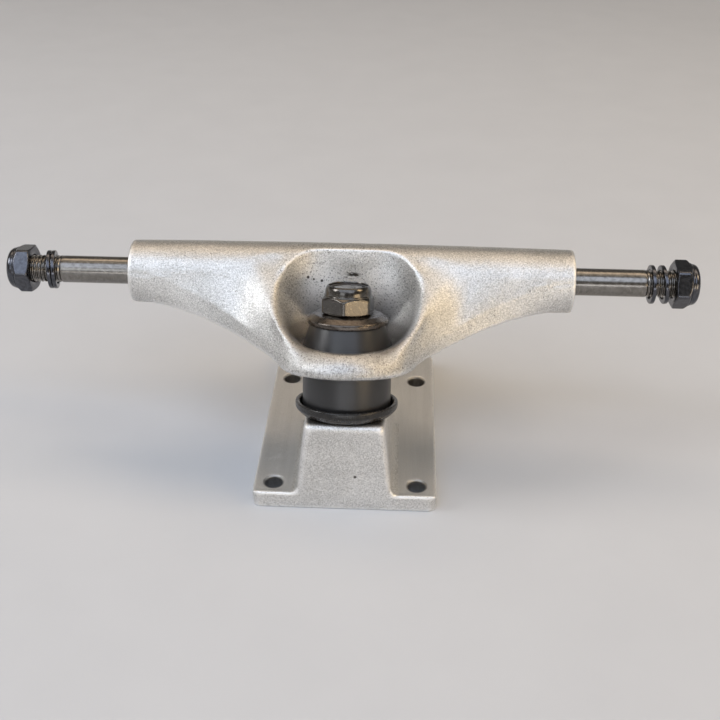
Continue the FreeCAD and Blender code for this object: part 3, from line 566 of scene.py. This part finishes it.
speckle = use(tree, cast_speckle, Grain_Scale=3300.0, Pit_Scale=3000.0, Pit_Share=0.39)
# Rubbed edges, also brightened as a painted highlight along rounded edges.
rubbed_and_highlit = use(tree, edge_rub, Low=0.25, High=0.9, Break=0.4)
where = node(tree, "TexCoord")
place = where.outputs["Object"]
tone = mix(tree, speckle.outputs["Shade"], (0.47, 0.465, 0.45, 1), (0.91, 0.90, 0.88, 1))
tone = mix(tree, rubbed_and_highlit.outputs["Rub"], tone, (0.90, 0.89, 0.87, 1))
tone = mix(tree, maths(tree, "MULTIPLY", speckle.outputs["Pits"], 0.6), tone,
           (0.24, 0.22, 0.20, 1))
# One sand hole in the front of the boss.
tone = mix(tree, blot(tree, place, (3.1, -31.9, 11.4), 0.45), tone, (0.10, 0.09, 0.08, 1))
# The plate's top is smoother and brighter, with faint marks that run along it.
facing = node(tree, "SeparateXYZ", {"Vector": where.outputs["Normal"]})
flat_top = band(tree, facing.outputs["Z"], 0.955, 0.99)
along = node(tree, "Mapping", {"Vector": place, "Scale": (1.0, 0.05, 1.0)})
drag = node(tree, "TexNoise", {"Vector": along.outputs["Vector"], "Scale": 500.0, "Detail": 3.0})
smooth_top = mix(tree, band(tree, drag.outputs["Fac"], 0.35, 0.65), (0.75, 0.75, 0.745, 1),
                 (0.81, 0.81, 0.805, 1))
tone = mix(tree, maths(tree, "MULTIPLY", flat_top, 0.85), tone, smooth_top)
# The walls of the four deck holes are darker.
HOLE_ACROSS = 20.65
HOLE_ALONG = 27.0
HOLE_DARK_REACH = 3.2
from_above = node(tree, "Mapping", {"Vector": place, "Scale": (1.0, 1.0, 0.0)}).outputs["Vector"]
in_hole = 0.0
for x in (-HOLE_ACROSS, HOLE_ACROSS):
    for y in (-HOLE_ALONG, HOLE_ALONG):
        hole = blot(tree, from_above, (x, y, 0.0), HOLE_DARK_REACH)
        in_hole = maths(tree, "MAXIMUM", in_hole, hole)
in_hole = maths(tree, "MULTIPLY", in_hole, maths(tree, "SUBTRACT", 0.85, flat_top, clamp=True))
tone = mix(tree, in_hole, tone, (0.22, 0.215, 0.21, 1))
# A stain from the washer together with painted shade under it, on the boss round its seat.
STAIN_AND_SHADE_REACH = 17.0
above = node(tree, "VectorMath", {0: place, 1: tuple(-seat)}, operation="ADD")
rise = node(tree, "VectorMath", {0: above.outputs["Vector"], 1: tuple(up_kingpin)},
            operation="DOT_PRODUCT")
under_washer_stain_and_shade = maths(tree, "MULTIPLY", band(tree, rise.outputs["Value"], -0.9 * MM, -0.1 * MM),
                     blot(tree, place, tuple(seat / MM), STAIN_AND_SHADE_REACH))
stain_and_shade = maths(tree, "MULTIPLY", under_washer_stain_and_shade, band(tree, speckle.outputs["Shade"], 1.2, 0.2))
# Darker round the washer's seat: partly a stain, partly painted shade under the washer.
tone = mix(tree, stain_and_shade, tone, (0.10, 0.085, 0.07, 1))
tree.links.new(tone, shader.inputs["Base Color"])
dull = band(tree, speckle.outputs["Shade"], 0.0, 1.0, 0.50, 0.38)
tree.links.new(dull, shader.inputs["Roughness"])
bump(tree, shader, speckle.outputs["Height"], 0.10 * MM)
baseplate.data.materials.append(finish)

# Cup washers. Two discs pressed from sheet steel, with rims that hold the ends of the bushings.
# The lower one is black, and the upper one is a dark bronze.
def stand(spot, up, across=(1, 0, 0)):
    """The place of a turned piece: its foot at spot, its own Z along up and its X near across."""
    z = Vector(up).normalized()
    y = z.cross(Vector(across)).normalized()
    x = y.cross(z)
    return Matrix.Translation(spot) @ Matrix((x, y, z)).transposed().to_4x4()


def eased(corners, steps=5):
    """A closed profile of (radius, height, rounding) corners in mm, with its corners rounded."""
    points = []
    count = len(corners)
    for i, (radius, height, rounding) in enumerate(corners):
        here = Vector((radius, height))
        before = Vector(corners[i - 1][:2]) - here
        after = Vector(corners[(i + 1) % count][:2]) - here
        if rounding == 0:
            points.append(tuple(here))
            continue
        opening = before.angle(after)
        reach = min(rounding / math.tan(opening / 2), before.length * 0.49, after.length * 0.49)
        first = here + before.normalized() * reach
        last = here + after.normalized() * reach
        for step in range(steps + 1):
            t = step / steps
            points.append(tuple(first * (1 - t) ** 2 + here * 2 * t * (1 - t) + last * t ** 2))
    return points


def turned(name, profile, place, around=96, closed=True):
    """A mesh spun about local Z. A profile point is (radius, height) in mm, and its radius may be
    a function of the angle. An open profile runs from the axis to the axis."""
    points = []
    rows = []
    for radius, height in profile:
        if not callable(radius) and radius < 1e-6:
            rows.append([len(points)])
            points.append((0, 0, height * MM))
            continue
        row = []
        for step in range(around):
            angle = math.tau * step / around
            reach = (radius(angle) if callable(radius) else radius) * MM
            row.append(len(points))
            points.append((reach * math.cos(angle), reach * math.sin(angle), height * MM))
        rows.append(row)
    faces = []
    pairs = list(zip(rows, rows[1:]))
    if closed:
        pairs.append((rows[-1], rows[0]))
    for low, high in pairs:
        for step in range(around):
            after = (step + 1) % around
            if len(low) == 1:
                faces.append((low[0], high[after], high[step]))
            elif len(high) == 1:
                faces.append((low[step], low[after], high[0]))
            else:
                faces.append((low[step], low[after], high[after], high[step]))
    mesh = bpy.data.meshes.new(name)
    mesh.from_pydata([place @ Vector(point) for point in points], [], faces)
    mesh.validate()
    mesh.shade_smooth()
    item = shown(name, mesh)
    even = item.modifiers.new("even_faces", "WEIGHTED_NORMAL")
    even.weight = 100
    return item


def fitted(item, body, slot, finish, *nodes):
    """Gives a piece its body and its finish, and hides the CAD solids it stands for."""
    item.data.materials.append(finish)
    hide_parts(*nodes)
    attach(item, body)


on_kingpin = stand(seat, up_kingpin)
bottom_washer = turned("bottom_cup_washer", eased([
    (4.95, 0.0, 0.2), (10.4, 0.0, 1.5), (13.0, 0.5, 1.5), (14.55, 2.2, 1.4), (14.6, 4.0, 0.5),
    (13.4, 3.9, 0.5), (13.0, 2.4, 0.8), (12.4, 1.5, 0.4), (4.95, 1.5, 0.2)]), on_kingpin, 128)


def clouded(name, dark, light, scale, detail, roughness):
    """A plain coloured material that a fine noise shades from dark to light, and its noise."""
    finish, tree, shader = material(name, dark, 0.0, roughness)
    where = node(tree, "TexCoord")
    cloud = node(tree, "TexNoise", {"Vector": where.outputs["Object"], "Scale": scale,
                                    "Detail": detail}).outputs["Fac"]
    tree.links.new(mix(tree, cloud, (*dark, 1), (*light, 1)), shader.inputs["Base Color"])
    return finish, tree, shader, cloud


finish, tree, shader, orange_peel = clouded(
    "black_washer_paint", (0.008, 0.008, 0.008), (0.022, 0.019, 0.017), 900.0, 3.0, 0.28)
shader.inputs["Specular IOR Level"].default_value = 0.35
shader.inputs["Coat Weight"].default_value = 0.25
shader.inputs["Coat Roughness"].default_value = 0.12
tree.links.new(band(tree, orange_peel, 0.3, 0.7, 0.20, 0.36), shader.inputs["Roughness"])
bump(tree, shader, orange_peel, 0.02 * MM)
fitted(bottom_washer, "base", "bottom_washer_black", finish, "bottom_washer")

top_washer = turned("top_cup_washer", eased([
    (4.95, 27.5, 0.2), (10.2, 27.5, 0.3), (10.4, 26.3, 0.35), (11.35, 26.2, 0.45),
    (11.4, 27.6, 0.9), (9.4, 29.0, 1.2), (4.95, 29.0, 0.2)], 7), on_kingpin, 128)

# The marks on plated steel: thin scratches that all run one way, and a soft mottle.
scratched, given, result = group("scratched", {"Scale": 500.0, "Stretch": 18.0, "Share": 0.5},
                                 ("Scratch", "Mottle"))
where = node(scratched, "TexCoord")
line = node(scratched, "Mapping", {"Vector": where.outputs["Object"],
                                   "Rotation": (0.4, 0.9, 0.7)})
spread = node(scratched, "CombineXYZ", {"X": 1.0, "Y": given.outputs["Stretch"], "Z": 1.0})
stretched = node(scratched, "VectorMath", {0: line.outputs["Vector"], 1: spread.outputs["Vector"]},
                 operation="MULTIPLY")
streak = node(scratched, "TexNoise", {"Vector": stretched.outputs["Vector"],
                                      "Scale": given.outputs["Scale"], "Detail": 2.0})
mottle = node(scratched, "TexNoise", {"Vector": where.outputs["Object"], "Scale": 900.0,
                                      "Detail": 5.0})
thin = band(scratched, streak.outputs["Fac"], 0.62, 0.70)
scratched.links.new(maths(scratched, "MULTIPLY", thin, given.outputs["Share"]),
                    result.inputs["Scratch"])
scratched.links.new(band(scratched, mottle.outputs["Fac"], 0.38, 0.62), result.inputs["Mottle"])


def plated_steel(name, dark, light, bare, scratch_scale, scratch_share, polish, depth):
    """Plated steel, mottled from dark to light and scratched down to the bare metal. polish is
    its lowest and highest roughness, and depth the height of its mottle in mm."""
    finish, tree, shader = material(name, dark, 1.0, polish[0])
    worn = use(tree, scratched, Scale=scratch_scale, Share=scratch_share)
    mottle = worn.outputs["Mottle"]
    tone = mix(tree, mottle, (*dark, 1), (*light, 1))
    tone = mix(tree, worn.outputs["Scratch"], tone, (*bare, 1))
    tree.links.new(tone, shader.inputs["Base Color"])
    tree.links.new(band(tree, mottle, 0.0, 1.0, *polish), shader.inputs["Roughness"])
    if depth:
        bump(tree, shader, mottle, depth * MM)
    return finish


bronzed_steel = plated_steel(
    "bronzed_steel", (0.085, 0.073, 0.064), (0.125, 0.110, 0.098), (0.34, 0.31, 0.28),
    450.0, 0.5, (0.26, 0.33), 0.004)
fitted(top_washer, "base", "top_washer_bronze", bronzed_steel, "top_washer")

# Bushings. Two rings of black urethane on the kingpin, cast and turned to size: a barrel below
# the hanger's ring and a cone above it.
bottom_bushing = turned("barrel_bushing", eased([
    (5.1, 1.55, 0.2), (12.5, 1.55, 0.7), (12.5, 14.7, 0.7), (5.1, 14.7, 0.2)]), on_kingpin, 128)
top_bushing = turned("cone_bushing", eased([
    (5.1, 18.7, 0.2), (12.5, 18.7, 0.4), (12.5, 20.1, 0.6), (10.1, 27.4, 0.4),
    (5.1, 27.4, 0.2)]), on_kingpin, 128)
for bushing, solid, low_body, high_body, low, high, satin in (
        (bottom_bushing, "bottom_bushing", "base", "hanger", 2.0, 14.5, 0.36),
        (top_bushing, "top_bushing", "hanger", "base", 19.0, 27.2, 0.33)):
    finish, tree, shader, cloud = clouded(
        bushing.name.replace("bushing", "urethane"), (0.008, 0.008, 0.009),
        (0.020, 0.019, 0.019), 160.0, 5.0, satin)
    tree.links.new(band(tree, cloud, 0.3, 0.7, satin - 0.04, satin + 0.06),
                   shader.inputs["Roughness"])
    shader.inputs["Specular IOR Level"].default_value = 0.7
    bump(tree, shader, cloud, 0.01 * MM)
    bushing.data.materials.append(finish)
    bushing.modifiers.clear()
    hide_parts(solid)
    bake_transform(bushing)

# Kingpin. A 3/8 inch bolt of plated steel, put in from below: its head sits in the baseplate and
# has a hexagon socket, and its threaded tip comes up through the upper washer.
HEX_EASE = 34.0
THREAD_PITCH = 1.0583
THREAD_DEPTH = 0.55
THREAD_CREST = 0.14
THREAD_FLANK = 0.66
ROWS_PER_TURN = 11
TIP_CHAMFER = 0.7
PIN_RADIUS = 4.76


def hexagon(across_flats, turn=0.0):
    """The radius of a hexagon with slightly rounded corners, as a function of the angle."""
    ways = [math.radians(turn + 30 + 60 * i) for i in range(6)]

    def radius(angle):
        reach = sum(max(0.0, math.cos(angle - way)) ** HEX_EASE for way in ways)
        return across_flats / 2.0 * reach ** (-1.0 / HEX_EASE)

    return radius


def thread_row(radius, depth, height, limit):
    """The radius of a screw thread at one height, as a function of the angle."""

    def at(angle):
        place = (height / THREAD_PITCH - angle / math.tau) % 1.0
        groove = min(1.0, max(0.0, (abs(2.0 * place - 1.0) - THREAD_CREST) / THREAD_FLANK))
        return min(radius - depth * groove, limit)

    return at


def threaded(radius, start, end):
    """Rows of (radius, height) for a thread from start to end, which runs out at its start and
    has a chamfer at its end."""
    rows = []
    count = int((end - start) / THREAD_PITCH * ROWS_PER_TURN)
    for i in range(count + 1):
        height = start + (end - start) * i / count
        cut = THREAD_DEPTH * min(1.0, (height - start) / THREAD_PITCH)
        limit = radius - max(0.0, TIP_CHAMFER - (end - height))
        rows.append((thread_row(radius, cut, height, limit), height))
    return rows


socket = hexagon(5.6)
pin_profile = [(0.0, -9.0), (3.0, -9.0), (socket, -9.1), (socket, -11.7)]
pin_profile += [(3.9, -12.0), (5.8, -12.0), (6.3, -11.85), (6.5, -11.4), (6.5, -7.3), (6.3, -7.0)]
pin_profile += [(PIN_RADIUS, -7.0), (PIN_RADIUS, 26.0)]
pin_profile += threaded(PIN_RADIUS, 28.0, 36.1)
pin_profile += [(3.9, 36.25), (3.6, 36.3), (0.0, 36.3)]
kingpin = turned("kingpin_bolt", pin_profile, on_kingpin, 72, closed=False)
kingpin_plating = plated_steel(
    "kingpin_steel_plating", (0.20, 0.185, 0.17), (0.36, 0.34, 0.32), (0.6, 0.58, 0.55),
    500.0, 0.6, (0.22, 0.36), 0.0)
fitted(kingpin, "base", "kingpin_steel", kingpin_plating, "kingpin")

# Kingpin nut. A lock nut of dark plated steel: a hexagon with chamfered corners, and a collar
# rolled in over a nylon ring that grips the thread.
NUT_EASE = 60.0
HEXAGON_ROWS = 40
ROLL_ROWS = 12
SEAT_CHAMFER_SLOPE = 2.2


def cut_hexagon(six, low_cone, high_cone):
    """The radius of a hexagon that two cones chamfer, with eased corners between them."""

    def radius(angle):
        reaches = (six(angle), low_cone, high_cone)
        return sum(reach ** -NUT_EASE for reach in reaches) ** (-1.0 / NUT_EASE)

    return radius


def nut_skin(across_flats, turn, hexagon_height, height, collar, bore, nylon_outer, slope):
    """Rows for the outside and the bore of a lock nut standing on its flat face. slope is how
    far its corner chamfers reach out per mm of height."""
    six = hexagon(across_flats, turn)
    flat = across_flats / 2.0
    rows = [(bore, 0.35), (bore + 0.35, 0.0), (flat * 0.86, 0.0), (flat * 0.93, 0.02)]
    for i in range(HEXAGON_ROWS + 1):
        level = hexagon_height * i / HEXAGON_ROWS
        low_cone = flat * 0.975 + level * SEAT_CHAMFER_SLOPE
        high_cone = flat * 0.985 + (hexagon_height - level) * slope
        rows.append((cut_hexagon(six, low_cone, high_cone), level))
    rows += [(flat * 0.965, hexagon_height + 0.12), (collar + 0.25, hexagon_height + 0.2),
             (collar + 0.08, hexagon_height + 0.3), (collar, hexagon_height + 0.45)]
    inner = nylon_outer - 0.15
    tall = height - hexagon_height - 0.7
    wide = collar - inner - 0.15
    for i in range(ROLL_ROWS + 1):
        sweep = math.radians(90.0 * i / ROLL_ROWS)
        rows.append((collar - wide * (1 - math.cos(sweep)), height - tall * (1 - math.sin(sweep))))
    rows += [(inner + 0.15, height - 0.02), (inner, height - 0.2), (inner, height - 0.45),
             (nylon_outer, height - 0.5), (nylon_outer, height - 2.4), (bore, height - 2.45)]
    return rows


def nylon_skin(bore, nylon_outer, height):
    """Rows for the nylon ring, with a rounded top."""
    return eased([(bore, height - 2.35, 0.1), (nylon_outer - 0.02, height - 2.35, 0.1),
                  (nylon_outer - 0.02, height - 0.5, 0.2), (bore, height - 0.5, 0.25)])


NUT_SEAT = 29.0
KINGPIN_NUT = {"height": 7.9, "bore": 4.79, "nylon_outer": 5.5}
on_washer = stand(seat + up_kingpin * NUT_SEAT * MM, up_kingpin)
kingpin_nut = turned("kingpin_lock_nut", nut_skin(
    13.5, 22.0, 4.9, KINGPIN_NUT["height"], 6.45, KINGPIN_NUT["bore"],
    KINGPIN_NUT["nylon_outer"], 1.3), on_washer, 144)
nut_plating = plated_steel(
    "dark_nut_plating", (0.092, 0.085, 0.078), (0.120, 0.112, 0.102), (0.4, 0.37, 0.32),
    600.0, 0.35, (0.16, 0.24), 0.003)
fitted(kingpin_nut, "kingpin_nut", "kingpin_nut_steel", nut_plating, "kingpin_nut")
kingpin_nylon = turned("kingpin_nylon_ring", nylon_skin(
    KINGPIN_NUT["bore"], KINGPIN_NUT["nylon_outer"], KINGPIN_NUT["height"]), on_washer, 96)
nylon_finish = clouded(
    "dark_nylon", (0.03, 0.03, 0.032), (0.065, 0.063, 0.062), 1500.0, 3.0, 0.42)[0]
fitted(kingpin_nylon, "kingpin_nut_lock", "nylon_insert", nylon_finish, "kingpin_nut_insert")

# Axle. A 5/16 inch rod of hard steel, blackened by its heat treatment and cast into the hanger,
# with a screw thread at each end.
ROD_RADIUS = 3.97
ROD_HALF = 99.85
THREAD_START = 85.0
axle_middle = Vector(hinge["axle_nut_left_turn"]["pos_m"])
along_axle = stand(axle_middle, (1, 0, 0), (0, 0, -1))
thread_rows = threaded(ROD_RADIUS, THREAD_START, ROD_HALF - 0.15)
rod_profile = [(0.0, -ROD_HALF), (3.0, -ROD_HALF), (3.15, -ROD_HALF + 0.05)]
rod_profile += [(radius, -level) for radius, level in reversed(thread_rows)]
rod_profile += [(ROD_RADIUS, -THREAD_START + 1.0), (ROD_RADIUS, -60.0), (ROD_RADIUS, 60.0),
                (ROD_RADIUS, THREAD_START - 1.0)]
rod_profile += thread_rows
rod_profile += [(3.15, ROD_HALF - 0.05), (3.0, ROD_HALF), (0.0, ROD_HALF)]
axle = turned("axle_rod", rod_profile, along_axle, 72, closed=False)
axle_finish = plated_steel(
    "blackened_axle_steel", (0.20, 0.188, 0.172), (0.26, 0.245, 0.228), (0.5, 0.47, 0.42),
    420.0, 0.25, (0.20, 0.26), 0.001)
fitted(axle, "hanger", "axle_steel", axle_finish, "axle")

# Axle nuts. Two lock nuts with a black oxide finish, one on each thread, with their nylon rings.
AXLE_NUT = {"height": 6.8, "bore": 4.0, "nylon_outer": 4.7}
black_oxide = plated_steel(
    "black_oxide", (0.078, 0.080, 0.090), (0.110, 0.114, 0.128), (0.25, 0.25, 0.26),
    650.0, 0.25, (0.17, 0.23), 0.002)
for side_name, side, turn in (("left", -1, 100.5), ("right", 1, 94.8)):
    nut_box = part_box("axle_nut_" + side_name)
    inner_face = nut_box[1].x if side < 0 else nut_box[0].x
    on_axle = stand((inner_face, *axle_middle[1:]), (side, 0, 0), (0, 0, -side))
    nut = turned("axle_lock_nut_" + side_name, nut_skin(
        12.6, turn, 4.5, AXLE_NUT["height"], 6.0, AXLE_NUT["bore"], AXLE_NUT["nylon_outer"],
        1.1), on_axle, 144)
    fitted(nut, "axle_nut_" + side_name, "lock_nut_black", black_oxide, "axle_nut_" + side_name)
    nylon = turned("axle_nylon_ring_" + side_name, nylon_skin(
        AXLE_NUT["bore"], AXLE_NUT["nylon_outer"], AXLE_NUT["height"]), on_axle, 96)
    fitted(nylon, "axle_nut_%s_lock" % side_name, "nylon_insert", nylon_finish,
           "axle_nut_insert_" + side_name)

# Speed rings. Four thin washers of black steel that bear on the wheels' bearings. With no wheels
# on they hang loose on the threads, each leaning its own way. The way in which a ring's points
# spread least is its axis.
for name in ("left_inner", "left_outer", "right_inner", "right_outer"):
    node_name = "speed_ring_" + name
    spots = points_of(frame["nodes"][node_name])
    middle = (spots.min(0) + spots.max(0)) / 2
    lean = np.linalg.svd(spots - middle)[2][2]
    ring = turned("speed_washer_" + name, eased([
        (4.3, -0.55, 0.15), (5.65, -0.55, 0.3), (5.65, 0.55, 0.3), (4.3, 0.55, 0.15)]),
        stand(Vector(middle), Vector(lean), (0, 0, 1)), 96)
    fitted(ring, node_name, "speed_ring_black", black_oxide, node_name)

# Pivot cup. A black urethane cup pressed into the rear boss, in which the hanger's ball turns.
ball = Vector(hinge["hanger_steer"]["pos_m"])
STEM_WAY = (0, -1, 1)
pivot_cup = turned("pivot_cup_urethane_seat", eased([
    (0.0, -6.3, 0.0), (7.5, -6.3, 0.6), (7.5, 5.0, 0.8), (6.4, 5.0, 0.6), (5.25, 0.4, 1.0),
    (4.6, -2.6, 1.5), (2.6, -4.6, 1.5), (0.0, -5.25, 0.0)]), stand(ball, STEM_WAY), 96,
    closed=False)
cup_finish = clouded(
    "cup_urethane", (0.010, 0.010, 0.011), (0.024, 0.023, 0.022), 300.0, 4.0, 0.4)[0]
fitted(pivot_cup, "base", "pivot_cup_urethane", cup_finish, "pivot_cup")
